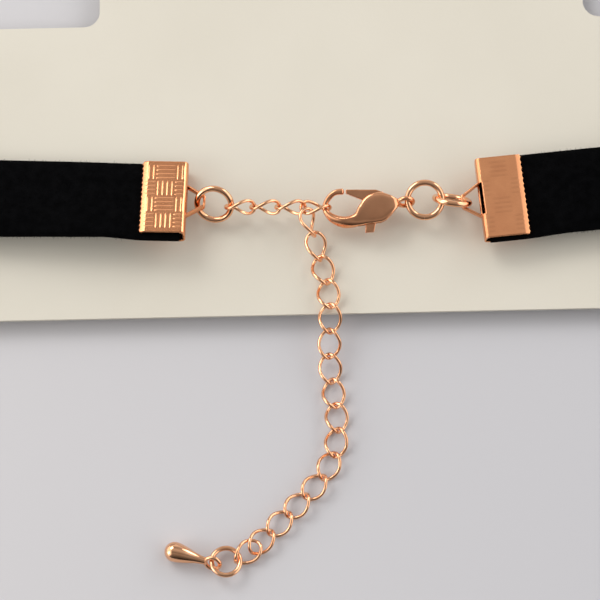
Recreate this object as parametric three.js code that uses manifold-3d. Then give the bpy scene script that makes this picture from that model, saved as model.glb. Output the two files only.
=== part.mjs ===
// A velvet choker necklace, fastened round the card that it is sold on and lying on its front.
// The clasp side is up: ribbon ends in folded metal crimps, jump rings, a lobster clasp and an
// extender chain that ends in a small drop. Millimetres, +Z up, the card's long side along X.
import * as THREE from 'three';
import { mergeVertices } from 'three/addons/utils/BufferGeometryUtils.js';
import Module from 'manifold-3d';

const wasm = await Module();
wasm.setup();

const { sin, cos, sqrt, abs, sign, PI } = Math;
const radians = THREE.MathUtils.degToRad;
const UP = new THREE.Vector3(0, 0, 1);

// The display card: a strip that the choker is wrapped round, and a tab above it
const card_length = 160;
const card_height = 38;
const card_thickness = 0.5;
const card_corner = 2.5;
const tab_width = 61;
const tab_height = 20;
const tab_corner = 4;
const tab_fillet = 2;

// The velvet ribbon
const ribbon_width = 10.5;
const ribbon_thickness = 1.4;
const ribbon_edge = 0.6;
const crimped_thickness = 0.8;
const lay_gap = 0.25;
const row_clearance = 0.2;
const ribbon_lift_run = 54;
const ribbon_straight_run = 24;

// The folded sheet-metal crimp on each ribbon end, with its bent-out bail
const crimp_length = 5.8;
const crimp_width = 10.2;
const crimp_thickness = 2.3;
const crimp_sheet = 0.35;
const crimp_pinch = 0.25;
const crimp_teeth = 15;
const tooth_depth = 0.3;
const bail_reach = 2.25;
const bail_base = 4.6;
const bail_tip = 1.9;
const bail_strip = 0.35;
const bail_depth = 0.8;
const bail_gap = 0.28;

// Jump rings, the extender chain's links and the clearance in every joint between them
const ring_diameter = 5;
const ring_wire = 0.75;
const end_ring_diameter = 4;
const end_ring_wire = 0.6;
const link_length = 4;
const link_width = 3;
const link_wire = 0.4;
const link_twist = 45;
const joint_gap = 0.12;

// The lobster clasp
const clasp_length = 9.4;
const clasp_width = 4.6;
const clasp_thickness = 2.3;
const eye_diameter = 2.4;
const eye_wire = 0.5;
const eye_turn = 65;
const hook_gap = 0.2;
const lever_thickness = 1.05;
const lever_gap = 0.14;
const pin_diameter = 0.7;
const pin_gap = 0.1;

// The drop at the chain's end
const drop_length = 5.1;
const drop_diameter = 2.4;
const drop_neck = 0.9;
const drop_eye_diameter = 2.3;
const drop_eye_wire = 0.5;
const drop_roll = -55;
const drop_turn = 162;

// Where the drop's eye hangs on the end ring: its direction in plan from the ring's middle, in
// degrees, and how far out it lies
const drop_hang = { turn: 186, reach: 1.6 };

// Heights of what is stacked on the table, and of the taut row of hardware over the card
const card_top = ribbon_thickness + lay_gap + card_thickness;
const ribbon_back = card_top + lay_gap + ribbon_thickness / 2;
const row_height = card_top + row_clearance + ring_diameter / 2;

// The taut row runs through the clasp's middle, which stands here in plan. Each piece of it has a
// roll about the row and a turn in plan, in degrees.
const clasp_middle = { x: 1.62, y: -6.05 };
const row = {
  crimp_left: { roll: -15, turn: -2.6 },
  ring_left: { roll: 44, turn: -13 },
  row_link: { roll: 85, turn: -1.6 },
  hooked_link: { roll: 125, turn: -2 },
  clasp: { roll: 12, turn: 3 },
  ring_clasp: { roll: 15, turn: 6 },
  ring_right: { roll: 118, turn: -10 },
  crimp_right: { roll: 0, turn: 5 },
};
const row_link_count = 3;

// The hanging chain starts on the hooked link's upper wire, this far along the link from its
// middle, and each link of it is rolled about the chain's run, in degrees
const chain_start = -1.2;
const chain_rolls = [-56, -28, -8, 3, -4, 4, -3, 5, -5, 2, -6, 4, 6, -3, -4, -26];
const last_link_slack = 0.9;
const end_ring_roll = 10;

// The route of the hanging chain in plan, from there over the card's lower edge and along the
// table. lift is the height of the chain's middle over what it lies on.
const chain_route = [
  { x: -4.35, y: -8.8, lift: 2.0, on: 'card' },
  { x: -3.56, y: -11.85, lift: 1.0, on: 'card' },
  { x: -2.77, y: -14.9, lift: 0.9, on: 'card' },
  { x: -2.35, y: -17.93, lift: 1.0, on: 'card' },
  { x: -2.4, y: -20.9, lift: 2.75, on: 'table' },
  { x: -2.6, y: -23.67, lift: 1.7, on: 'table' },
  { x: -2.43, y: -26.62, lift: 0.83, on: 'table' },
  { x: -2.02, y: -29.76, lift: 0.78, on: 'table' },
  { x: -1.73, y: -32.88, lift: 0.78, on: 'table' },
  { x: -2.17, y: -36.09, lift: 0.78, on: 'table' },
  { x: -3.57, y: -38.9, lift: 0.78, on: 'table' },
  { x: -5.8, y: -41.3, lift: 0.78, on: 'table' },
  { x: -8.02, y: -43.58, lift: 0.78, on: 'table' },
  { x: -10.22, y: -45.72, lift: 0.8, on: 'table' },
  { x: -12.3, y: -47.7, lift: 1.04, on: 'table' },
  { x: -14.6, y: -49.1, lift: 1.15, on: 'table' },
  { x: -18.2, y: -49.4, lift: 1.35, on: 'table' },
];

// A closed three.js geometry as a solid, and back
function solidOf(geometry) {
  const bare = geometry.clone();
  bare.deleteAttribute('normal');
  bare.deleteAttribute('uv');
  const merged = mergeVertices(bare, 1e-4);
  return new wasm.Manifold(
    new wasm.Mesh({
      numProp: 3,
      vertProperties: merged.attributes.position.array,
      triVerts: new Uint32Array(merged.index.array),
    }),
  );
}

function geometryOf(solid) {
  const { vertProperties, triVerts } = solid.getMesh();
  return new THREE.BufferGeometry()
    .setAttribute('position', new THREE.BufferAttribute(vertProperties, 3))
    .setIndex(new THREE.BufferAttribute(triVerts, 1));
}

// A solid skinned over rings of points, each ring counter-clockwise seen from the last one
function loft(rings) {
  const sides = rings[0].length;
  const vertices = [...rings.flat()];
  const faces = [];
  for (let r = 0; r < rings.length - 1; r++) {
    for (let s = 0; s < sides; s++) {
      const a = r * sides + s;
      const b = r * sides + ((s + 1) % sides);
      faces.push(a, b, b + sides, a, b + sides, a + sides);
    }
  }
  for (const [ring, outward] of [[0, false], [rings.length - 1, true]]) {
    const middle = vertices.length;
    vertices.push(rings[ring].reduce((sum, p) => sum.add(p), new THREE.Vector3()).divideScalar(sides));
    for (let s = 0; s < sides; s++) {
      const a = ring * sides + s;
      const b = ring * sides + ((s + 1) % sides);
      faces.push(middle, ...(outward ? [a, b] : [b, a]));
    }
  }
  return new THREE.BufferGeometry().setFromPoints(vertices).setIndex(faces);
}

// A round wire along a closed centreline: at(turn) gives the middle of the wire and outward(turn)
// a direction across it
function wireLoop(at, outward, wire, steps, sides) {
  const geometry = new THREE.TorusGeometry(1, 0.5, sides, steps);
  const position = geometry.getAttribute('position');
  const small = 1e-3;
  for (let k = 0; k < position.count; k++) {
    const turn = (2 * PI * (k % (steps + 1))) / steps;
    const round = (2 * PI * Math.floor(k / (steps + 1))) / sides;
    const middle = at(turn);
    const along = at(turn + small).sub(at(turn - small)).normalize();
    const out = outward(turn);
    out.addScaledVector(along, -out.dot(along)).normalize();
    const up = new THREE.Vector3().crossVectors(out, along);
    middle.addScaledVector(out, (wire / 2) * cos(round));
    middle.addScaledVector(up, (wire / 2) * sin(round));
    position.setXYZ(k, middle.x, middle.y, middle.z);
  }
  return geometry;
}

// Lays a piece with its own X along a direction, rolled about it
function lay(mesh, place, along, roll) {
  const run = along.clone().normalize();
  const side = new THREE.Vector3().crossVectors(UP, run).normalize();
  const lift = new THREE.Vector3().crossVectors(run, side);
  mesh.quaternion.setFromRotationMatrix(new THREE.Matrix4().makeBasis(run, side, lift));
  mesh.rotateX(radians(roll));
  mesh.position.copy(place);
  return mesh;
}

function planDirection(turn) {
  return new THREE.Vector3(cos(radians(turn)), sin(radians(turn)), 0);
}

// Finishes
const rose_gold = new THREE.MeshStandardMaterial({ color: 0xd9926b, roughness: 0.22, metalness: 1 });
const black_velvet = new THREE.MeshStandardMaterial({ color: 0x0b0b0c, roughness: 0.95, metalness: 0 });
const cream_card = new THREE.MeshStandardMaterial({ color: 0xe4dcc9, roughness: 0.85, metalness: 0 });

function piece(name, geometry, material) {
  const mesh = new THREE.Mesh(geometry, material);
  mesh.name = name;
  return mesh;
}

// The card, cut in one piece: the strip's outline with the tab on its upper long side
function cardGeometry() {
  const right = card_length / 2;
  const top = card_height / 2;
  const tab_right = tab_width / 2;
  const tab_top = top + tab_height;
  const outline = new THREE.Shape();
  outline.moveTo(0, -top);
  outline.lineTo(right - card_corner, -top);
  outline.absarc(right - card_corner, -top + card_corner, card_corner, -PI / 2, 0);
  outline.absarc(right - card_corner, top - card_corner, card_corner, 0, PI / 2);
  outline.lineTo(tab_right + tab_fillet, top);
  outline.absarc(tab_right + tab_fillet, top + tab_fillet, tab_fillet, -PI / 2, -PI, true);
  outline.absarc(tab_right - tab_corner, tab_top - tab_corner, tab_corner, 0, PI / 2);
  outline.absarc(-tab_right + tab_corner, tab_top - tab_corner, tab_corner, PI / 2, PI);
  outline.absarc(-tab_right - tab_fillet, top + tab_fillet, tab_fillet, 0, -PI / 2, true);
  outline.absarc(-right + card_corner, top - card_corner, card_corner, PI / 2, PI);
  outline.absarc(-right + card_corner, -top + card_corner, card_corner, PI, 1.5 * PI);
  return new THREE.ExtrudeGeometry(outline, { depth: card_thickness, bevelEnabled: false, curveSegments: 4 });
}

// A plain round ring in its own XY plane
function ringGeometry(diameter, wire) {
  return new THREE.TorusGeometry((diameter - wire) / 2, wire / 2, 8, 20);
}

// One curb link: an oval of wire along X whose two ends are twisted opposite ways
function linkGeometry() {
  const long = (link_length - link_wire) / 2;
  const wide = (link_width - link_wire) / 2;
  const twisted = (x, y) => {
    const twist = (-radians(link_twist) * x) / long;
    return new THREE.Vector3(x, y * cos(twist), y * sin(twist));
  };
  const at = (turn) => twisted(long * cos(turn), wide * sin(turn));
  const outward = (turn) => twisted(long * cos(turn), wide * sin(turn)).normalize();
  return wireLoop(at, outward, link_wire, 16, 6);
}

// The crimp: a strip of sheet folded to a U over the ribbon's end, its jaws toothed, with a bail
// cut out of the fold and bent into a V. Its own X points from the jaws to the fold, which ends
// at X = 0.
function crimpGeometry() {
  const half = crimp_thickness / 2;
  const jaw = half - crimp_pinch;
  const profile = new THREE.Shape();
  profile.moveTo(-crimp_length, jaw);
  profile.lineTo(-crimp_length, jaw - crimp_sheet);
  profile.lineTo(-crimp_sheet, half - crimp_sheet);
  profile.lineTo(-crimp_sheet, -half + crimp_sheet);
  profile.lineTo(-crimp_length, -jaw + crimp_sheet);
  profile.lineTo(-crimp_length, -jaw);
  profile.lineTo(-crimp_sheet, -half);
  profile.lineTo(0, -half + crimp_sheet);
  profile.lineTo(0, half - crimp_sheet);
  profile.lineTo(-crimp_sheet, half);
  const folded = new THREE.ExtrudeGeometry(profile, { depth: crimp_width, bevelEnabled: false });
  folded.rotateX(PI / 2);
  folded.translate(0, crimp_width / 2, 0);
  let crimp = solidOf(folded);

  const pitch = crimp_width / crimp_teeth;
  const notch = new THREE.Shape();
  notch.moveTo(-crimp_length - tooth_depth, pitch / 2);
  notch.lineTo(-crimp_length - tooth_depth, -pitch / 2);
  notch.lineTo(-crimp_length + tooth_depth, 0);
  for (let k = 0; k <= crimp_teeth; k++) {
    const cutter = new THREE.ExtrudeGeometry(notch, { depth: 2 * crimp_thickness, bevelEnabled: false });
    cutter.translate(0, -crimp_width / 2 + k * pitch, -crimp_thickness);
    crimp = crimp.subtract(solidOf(cutter));
  }

  const window_width = bail_base - 2 * bail_strip;
  const window_cut = new THREE.BoxGeometry(4 * crimp_sheet, window_width, bail_depth);
  crimp = crimp.subtract(solidOf(window_cut));

  const tip = bail_reach;
  const foot = bail_base / 2;
  const corner = bail_tip / 2;
  const inner = corner - bail_strip / 2;
  const bail = new THREE.Shape();
  bail.moveTo(-crimp_sheet, foot);
  bail.lineTo(-crimp_sheet, foot - bail_strip);
  bail.lineTo(0, foot - bail_strip);
  bail.lineTo(tip - bail_strip, inner);
  bail.lineTo(tip - bail_strip, -inner);
  bail.lineTo(0, -foot + bail_strip);
  bail.lineTo(-crimp_sheet, -foot + bail_strip);
  bail.lineTo(-crimp_sheet, -foot);
  bail.lineTo(0, -foot);
  bail.lineTo(tip, -corner);
  bail.lineTo(tip, corner);
  bail.lineTo(0, foot);
  const bent = new THREE.ExtrudeGeometry(bail, { depth: bail_depth, bevelEnabled: false });
  bent.translate(0, 0, -bail_depth / 2);
  return geometryOf(crimp.add(solidOf(bent)));
}

// The clasp's own frame: X from the hook's round end to the eye, Y across, origin at the hook's
// end. The body's sections run from the neck by the eye, through the wide shoulder and round the
// hook to its tip. along is a share of the clasp's length, across, wide and thick are shares of
// half its width and half its thickness.
const clasp_sections = [
  { along: 1.0, across: 0.0, wide: 0.17, thick: 0.5 },
  { along: 0.955, across: -0.03, wide: 0.32, thick: 0.72 },
  { along: 0.885, across: -0.07, wide: 0.55, thick: 0.95 },
  { along: 0.79, across: -0.14, wide: 0.76, thick: 1.0 },
  { along: 0.68, across: -0.27, wide: 0.8, thick: 1.0 },
  { along: 0.565, across: -0.52, wide: 0.62, thick: 0.98 },
  { along: 0.44, across: -0.79, wide: 0.37, thick: 0.86 },
  { along: 0.27, across: -0.84, wide: 0.31, thick: 0.72 },
  { along: 0.115, across: -0.54, wide: 0.23, thick: 0.42 },
  { along: 0.035, across: -0.02, wide: 0.13, thick: 0.3 },
  { along: 0.09, across: 0.46, wide: 0.15, thick: 0.38 },
  { along: 0.185, across: 0.76, wide: 0.15, thick: 0.5 },
  { along: 0.295, across: 0.8, wide: 0.18, thick: 0.5 },
];
const hook_section = clasp_sections[9];
const clasp_pivot = { along: 0.8, across: 0.1 };
const slot_from = 0.44;
const slot_to = 0.93;

function claspPoint({ along, across }) {
  return new THREE.Vector2(along * clasp_length, (across * clasp_width) / 2);
}

// The lever's outline in the same shares: the gate, its back round the pin, and the thumb tab
const lever_outline = [
  { along: 0.325, across: 0.88 },
  { along: 0.325, across: 0.66 },
  { along: 0.53, across: 0.26 },
  { along: 0.6, across: 0.1 },
  { along: 0.665, across: -0.3 },
  { along: 0.555, across: -0.95 },
  { along: 0.54, across: -1.5 },
  { along: 0.655, across: -1.5 },
  { along: 0.69, across: -0.95 },
  { along: 0.82, across: -0.42 },
  { along: 0.865, across: -0.2 },
  { along: 0.885, across: 0.1 },
  { along: 0.865, across: 0.38 },
  { along: 0.81, across: 0.6 },
  { along: 0.72, across: 0.76 },
];

function claspBodyGeometry() {
  const half_width = clasp_width / 2;
  const half_thick = clasp_thickness / 2;
  const spine = new THREE.SplineCurve(clasp_sections.map(claspPoint));
  const last = clasp_sections.length - 1;
  const steps = 30;
  const sides = 12;
  const square = 0.55;
  const rings = [];
  for (let k = 0; k <= steps; k++) {
    const share = k / steps;
    const low = Math.min(Math.floor(share * last), last - 1);
    const part = THREE.MathUtils.smoothstep(share * last - low, 0, 1);
    const mixed = (column) =>
      THREE.MathUtils.lerp(clasp_sections[low][column], clasp_sections[low + 1][column], part);
    const middle = spine.getPoint(share);
    const run = spine.getTangent(share);
    const end = k === 0 || k === steps ? 0.6 : 1;
    const ring = [];
    for (let s = 0; s < sides; s++) {
      const round = (2 * PI * (s + 0.5)) / sides;
      const wide = mixed('wide') * half_width * end * sign(cos(round)) * abs(cos(round)) ** square;
      const thick = mixed('thick') * half_thick * end * sign(sin(round)) * abs(sin(round)) ** square;
      ring.push(new THREE.Vector3(middle.x - run.y * wide, middle.y + run.x * wide, thick));
    }
    rings.push(ring);
  }
  let body = solidOf(loft(rings));

  const eye_radius = (eye_diameter - eye_wire) / 2;
  const eye = new THREE.TorusGeometry(eye_radius, eye_wire / 2, 8, 16);
  eye.rotateX(radians(eye_turn));
  eye.translate(claspEyeX(), 0, 0);
  body = body.add(solidOf(eye));

  const slot_length = (slot_to - slot_from) * clasp_length;
  const slot = new THREE.BoxGeometry(slot_length, 2 * clasp_width, lever_thickness + 2 * lever_gap);
  slot.translate(slot_from * clasp_length + slot_length / 2, 0, 0);
  return geometryOf(body.subtract(solidOf(slot)).subtract(solidOf(pinBoreGeometry())));
}

function claspEyeX() {
  return clasp_length + eye_diameter / 2 - eye_wire / 2;
}

function claspLeverGeometry() {
  const outline = new THREE.Shape(lever_outline.map(claspPoint));
  const plate = new THREE.ExtrudeGeometry(outline, { depth: lever_thickness, bevelEnabled: false });
  plate.translate(0, 0, -lever_thickness / 2);
  return geometryOf(solidOf(plate).subtract(solidOf(pinBoreGeometry())));
}

function pinBoreGeometry() {
  return pinGeometry(pin_diameter + 2 * pin_gap, 2 * clasp_thickness);
}

function pinGeometry(diameter, length) {
  const pivot = claspPoint(clasp_pivot);
  const pin = new THREE.CylinderGeometry(diameter / 2, diameter / 2, length, 16);
  pin.rotateX(PI / 2);
  pin.translate(pivot.x, pivot.y, 0);
  return pin;
}

// The drop: a turned teardrop with a round eye at its narrow end, its own X from eye to ball
function dropGeometry() {
  const ball = drop_diameter / 2;
  const neck = drop_neck / 2;
  const points = [new THREE.Vector2(0, 0), new THREE.Vector2(neck, 0)];
  const rise = 6;
  const cone = drop_length - ball;
  for (let k = 1; k <= rise; k++) {
    const share = k / rise;
    const swell = share * share * (3 - 2 * share);
    points.push(new THREE.Vector2(neck + (ball - neck) * swell, cone * share));
  }
  for (let k = 1; k < rise; k++) {
    const turn = (PI / 2) * (k / rise);
    points.push(new THREE.Vector2(ball * cos(turn), cone + ball * sin(turn)));
  }
  points.push(new THREE.Vector2(0, drop_length));
  const turned = new THREE.LatheGeometry(points, 14);
  turned.rotateZ(-PI / 2);
  turned.translate(drop_eye_diameter / 2 - drop_eye_wire / 2, 0, 0);
  const eye = new THREE.TorusGeometry((drop_eye_diameter - drop_eye_wire) / 2, drop_eye_wire / 2, 8, 16);
  return geometryOf(solidOf(turned).add(solidOf(eye)));
}

// The ribbon's middle line, from inside one crimp round both ends of the card to the other.
// Each station has a place, a roll about the ribbon's run and a thickness.
const back_shares = [0, 0.03, 0.06, 0.09, 0.12, 0.16, 0.21, 0.27, 0.34, 0.42, 0.5, 0.59, 0.68, 0.78, 0.9, 1];
const bend_steps = 8;

// One back run: straight out of its crimp, then easing down to the card and to its middle line
function ribbonBackRun(end, side) {
  const { lerp, smoothstep } = THREE.MathUtils;
  const length = card_length / 2 - abs(end.x);
  return back_shares.map((share) => {
    const run = share * length;
    const lifted = 1 - smoothstep(run, crimp_length, ribbon_lift_run);
    const straight = end.y + Math.tan(radians(end.turn)) * side * run;
    const settled = smoothstep(run, ribbon_straight_run, length);
    return {
      place: new THREE.Vector3(
        end.x + side * run,
        lerp(straight, 0, settled),
        lerp(ribbon_back, row_height, lifted),
      ),
      roll: end.roll * lifted,
      thickness: lerp(crimped_thickness, ribbon_thickness, smoothstep(run, crimp_length, 2 * crimp_length)),
    };
  });
}

// One bend round the card's end, from the back to the front
function ribbonBend(side) {
  const bend = (ribbon_back - ribbon_thickness / 2) / 2;
  const stations = [];
  for (let k = 1; k < bend_steps; k++) {
    const turn = (PI * k) / bend_steps;
    const x = side * (card_length / 2 + bend * sin(turn));
    const z = ribbon_thickness / 2 + bend * (1 + cos(turn));
    stations.push({ place: new THREE.Vector3(x, 0, z), roll: 0, thickness: ribbon_thickness });
  }
  return stations;
}

function ribbonFrontRun() {
  return [-1, -0.5, 0, 0.5, 1].map((share) => ({
    place: new THREE.Vector3((share * card_length) / 2, 0, ribbon_thickness / 2),
    roll: 0,
    thickness: ribbon_thickness,
  }));
}

function ribbonGeometry(left, right) {
  const stations = [
    ...ribbonBackRun(left, -1),
    ...ribbonBend(-1),
    ...ribbonFrontRun(),
    ...ribbonBend(1).reverse(),
    ...ribbonBackRun(right, 1).reverse(),
  ];
  const last = stations.length - 1;
  const rings = stations.map(({ place, roll, thickness }, k) => {
    const before = stations[Math.max(k - 1, 0)].place;
    const after = stations[Math.min(k + 1, last)].place;
    const run = after.clone().sub(before).normalize();
    const across = new THREE.Vector3(0, 1, 0);
    across.addScaledVector(run, -across.dot(run)).normalize();
    const out = new THREE.Vector3().crossVectors(run, across);
    const turned = new THREE.Quaternion().setFromAxisAngle(new THREE.Vector3(1, 0, 0), radians(roll));
    across.applyQuaternion(turned);
    out.applyQuaternion(turned);
    const corner = Math.min(ribbon_edge, thickness / 2 - 0.05);
    const ring = [];
    for (const [y, z, from] of [[1, 1, 0], [-1, 1, 90], [-1, -1, 180], [1, -1, 270]]) {
      for (const degrees of [from, from + 45, from + 90]) {
        const wide = y * (ribbon_width / 2 - corner) + corner * cos(radians(degrees));
        const thick = z * (thickness / 2 - corner) + corner * sin(radians(degrees));
        ring.push(place.clone().addScaledVector(across, wide).addScaledVector(out, thick));
      }
    }
    return ring;
  });
  return loft(rings);
}

// How far each piece reaches from its middle to the middle of the joint with its neighbour
const link_reach = link_length / 2 - link_wire - joint_gap / 2;
const ring_reach = ring_diameter / 2 - ring_wire - joint_gap / 2;
const bail_ring_reach = ring_diameter / 2 - ring_wire - bail_gap / 2;
const crimp_reach = bail_reach - bail_strip - bail_gap / 2;
const hooked_reach = link_length / 2 - link_wire - hook_gap / 2;
const end_ring_reach = end_ring_diameter / 2 - end_ring_wire - joint_gap / 2;
const hook_at = claspPoint(hook_section).x + (hook_section.wide * clasp_width) / 2 + hook_gap / 2;
const eye_at = claspEyeX() + eye_diameter / 2 - eye_wire - joint_gap / 2;

// A place further along a piece's own run
function along(place, { turn }, distance) {
  return place.clone().addScaledVector(planDirection(turn), distance);
}

// The clasp sets the row: each piece hangs in its neighbour, outwards from the hook and the eye
const row_middle = new THREE.Vector3(clasp_middle.x, clasp_middle.y, row_height);
const clasp_end = along(row_middle, row.clasp, -clasp_length / 2);
const hook_joint = along(clasp_end, row.clasp, hook_at);
const hooked_middle = along(hook_joint, row.hooked_link, -hooked_reach);
let row_joint = along(hooked_middle, row.hooked_link, -link_reach);
const row_middles = [];
for (let k = 0; k < row_link_count; k++) {
  row_middles.unshift(along(row_joint, row.row_link, -link_reach));
  row_joint = along(row_joint, row.row_link, -2 * link_reach);
}
const ring_left_middle = along(row_joint, row.ring_left, -ring_reach);
const left_bail_joint = along(ring_left_middle, row.ring_left, -bail_ring_reach);
const crimp_left_place = along(left_bail_joint, row.crimp_left, -crimp_reach);
const eye_joint = along(clasp_end, row.clasp, eye_at);
const ring_clasp_middle = along(eye_joint, row.ring_clasp, ring_reach);
const rings_joint = along(ring_clasp_middle, row.ring_clasp, ring_reach);
const ring_right_middle = along(rings_joint, row.ring_right, ring_reach);
const right_bail_joint = along(ring_right_middle, row.ring_right, bail_ring_reach);
const crimp_right_place = along(right_bail_joint, row.crimp_right, crimp_reach);

const choker = new THREE.Group();

const card = piece('card', cardGeometry(), cream_card);
card.position.z = ribbon_thickness + lay_gap;
choker.add(card);

// The ribbon starts inside each crimp, just short of its fold, on the crimp's own line
const fold_clearance = 0.35;
function ribbonEnd(crimp_place, { roll, turn }, side) {
  const start = along(crimp_place, { turn }, side * (crimp_sheet + fold_clearance));
  return { x: start.x, y: start.y, roll, turn };
}
const ribbon_left = ribbonEnd(crimp_left_place, row.crimp_left, -1);
const ribbon_right = ribbonEnd(crimp_right_place, row.crimp_right, 1);
choker.add(piece('ribbon', ribbonGeometry(ribbon_left, ribbon_right), black_velvet));

const crimp = crimpGeometry();
const { crimp_left, crimp_right } = row;
choker.add(
  lay(piece('crimp_left', crimp, rose_gold), crimp_left_place,
    planDirection(crimp_left.turn), crimp_left.roll),
  lay(piece('crimp_right', crimp, rose_gold), crimp_right_place,
    planDirection(180 + crimp_right.turn), -crimp_right.roll),
);

// A piece of the row in its place
function inRow(name, geometry, place, { turn, roll }) {
  choker.add(lay(piece(name, geometry, rose_gold), place, planDirection(turn), roll));
}
const ring = ringGeometry(ring_diameter, ring_wire);
inRow('ring_left', ring, ring_left_middle, row.ring_left);
inRow('ring_clasp', ring, ring_clasp_middle, row.ring_clasp);
inRow('ring_right', ring, ring_right_middle, row.ring_right);
const link = linkGeometry();
row_middles.forEach((middle, k) => inRow(`row_link_${k + 1}`, link, middle, row.row_link));
inRow('hooked_link', link, hooked_middle, row.hooked_link);

const clasp = new THREE.Group();
lay(clasp, clasp_end, planDirection(row.clasp.turn), row.clasp.roll);
clasp.add(
  piece('clasp_body', claspBodyGeometry(), rose_gold),
  piece('clasp_lever', claspLeverGeometry(), rose_gold),
  piece('clasp_pin', pinGeometry(pin_diameter, clasp_thickness), rose_gold),
);
choker.add(clasp);

// The middle of the hooked link's upper wire at a given x of its own
function hookedWirePoint(x) {
  const long = (link_length - link_wire) / 2;
  const wide = ((link_width - link_wire) / 2) * sqrt(1 - (x / long) ** 2);
  const turned = radians(row.hooked_link.roll - (link_twist * x) / long);
  const place = along(hooked_middle, row.hooked_link, x);
  place.y += wide * cos(turned);
  place.z += wide * sin(turned);
  return place;
}

// The hanging chain: joints stand one pitch apart along the route, and a link spans each pair
const heights = { card: card_top, table: 0 };
const on_route = chain_route.map(({ x, y, lift, on }) => new THREE.Vector3(x, y, heights[on] + lift));
const first_wire = hookedWirePoint(chain_start);
const back_up = first_wire.clone().sub(on_route[0]).setLength((link_wire + joint_gap) / 2);
const first_joint = first_wire.add(back_up);
const route = new THREE.CatmullRomCurve3([first_joint, ...on_route]);
const route_length = route.getLength();
const route_end = route.getPointAt(1);
const route_end_run = route.getTangentAt(1);
function routePoint(distance) {
  const past = distance - route_length;
  if (past > 0) return route_end.clone().addScaledVector(route_end_run, past);
  return route.getPointAt(distance / route_length);
}

// The next point along the route at a straight distance from the last one
let gone = 0;
function nextPoint(from, distance) {
  let near = gone;
  let far = gone + 2 * distance;
  for (let k = 0; k < 40; k++) {
    const half = (near + far) / 2;
    if (routePoint(half).distanceTo(from) < distance) near = half;
    else far = half;
  }
  gone = far;
  return routePoint(far);
}

let joint = first_joint;
for (const [k, roll] of chain_rolls.entries()) {
  if (k === chain_rolls.length - 1) {
    gone -= last_link_slack;
    joint = routePoint(gone);
  }
  const next = nextPoint(joint, 2 * link_reach);
  const middle = joint.clone().add(next).divideScalar(2);
  choker.add(lay(piece(`chain_link_${k + 1}`, link, rose_gold), middle, next.clone().sub(joint), roll));
  joint = next;
}
const end_ring_far = nextPoint(joint, 2 * end_ring_reach);
const end_ring_middle = joint.clone().add(end_ring_far).divideScalar(2);
choker.add(lay(piece('end_ring', ringGeometry(end_ring_diameter, end_ring_wire), rose_gold),
  end_ring_middle, end_ring_far.clone().sub(joint), end_ring_roll));
const drop_eye = along(end_ring_middle, drop_hang, drop_hang.reach);
drop_eye.z = drop_diameter / 2;
choker.add(lay(piece('drop', dropGeometry(), rose_gold), drop_eye, planDirection(drop_turn), drop_roll));

// The origin is under the middle of everything, on the table
const reach = new THREE.Box3().setFromObject(choker, true);
const middle = reach.getCenter(new THREE.Vector3());
choker.position.set(-middle.x, -middle.y, -reach.min.z);

export default choker;
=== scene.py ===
import math

import bmesh
import bpy
import numpy as np
from mathutils import Matrix, Vector


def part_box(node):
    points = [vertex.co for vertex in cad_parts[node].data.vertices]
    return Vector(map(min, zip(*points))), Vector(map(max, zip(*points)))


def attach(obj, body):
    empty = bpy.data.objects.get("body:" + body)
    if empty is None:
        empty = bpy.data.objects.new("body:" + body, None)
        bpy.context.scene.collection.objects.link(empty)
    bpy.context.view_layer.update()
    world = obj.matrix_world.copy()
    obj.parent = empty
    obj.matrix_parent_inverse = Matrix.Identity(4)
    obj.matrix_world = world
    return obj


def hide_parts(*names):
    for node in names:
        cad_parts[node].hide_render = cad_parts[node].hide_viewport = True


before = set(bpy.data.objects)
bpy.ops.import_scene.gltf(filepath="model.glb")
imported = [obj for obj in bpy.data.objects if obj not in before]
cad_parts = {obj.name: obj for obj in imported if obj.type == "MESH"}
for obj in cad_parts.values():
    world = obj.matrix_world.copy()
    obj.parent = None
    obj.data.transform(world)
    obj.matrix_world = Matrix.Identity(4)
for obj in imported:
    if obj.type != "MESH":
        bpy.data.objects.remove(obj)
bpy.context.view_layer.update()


# The camera looks down on the clasp from the card's lower side, 75 degrees above the table and
# about a third of a metre away. It stands where it does from the card's own lower edge.
MM = 0.001
card_low, card_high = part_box("card")
camera_left_of_middle = 6.0 * MM
camera_before_edge = 81.4 * MM
camera_height = 312.7 * MM
camera_place = Vector(
    ((card_low[0] + card_high[0]) / 2 - camera_left_of_middle, card_low[1] - camera_before_edge,
     camera_height)
)
look_down = math.radians(75)
level_roll = math.radians(1.24)
ahead = Vector((0, math.cos(look_down), -math.sin(look_down)))
flat_right = Vector((1, 0, 0))
flat_up = Vector((0, math.sin(look_down), math.cos(look_down)))
camera_right = math.cos(level_roll) * flat_right - math.sin(level_roll) * flat_up
camera_up = math.sin(level_roll) * flat_right + math.cos(level_roll) * flat_up
camera_data = bpy.data.cameras.new("photo_camera")
camera_data.sensor_width = 36
camera_data.lens = 157.44
camera_data.clip_start = 0.01
camera_data.clip_end = 10
camera = bpy.data.objects.new("photo_camera", camera_data)
bpy.context.collection.objects.link(camera)
turned = Matrix((camera_right, camera_up, -ahead)).transposed()
camera.matrix_world = Matrix.Translation(camera_place) @ turned.to_4x4()
bpy.context.scene.camera = camera


# The table is a smooth pale surface, cool and almost neutral, that runs out of the view on every
#  side. Its tone is a little uneven at random, and painted shade makes it darker and cooler to the right.
def new_material(name, colour, roughness, metallic=0.0):
    material = bpy.data.materials.new(name)
    material.use_nodes = True
    shader = material.node_tree.nodes["Principled BSDF"]
    shader.inputs["Base Color"].default_value = (*colour, 1)
    shader.inputs["Roughness"].default_value = roughness
    shader.inputs["Metallic"].default_value = metallic
    return material, material.node_tree, shader


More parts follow.
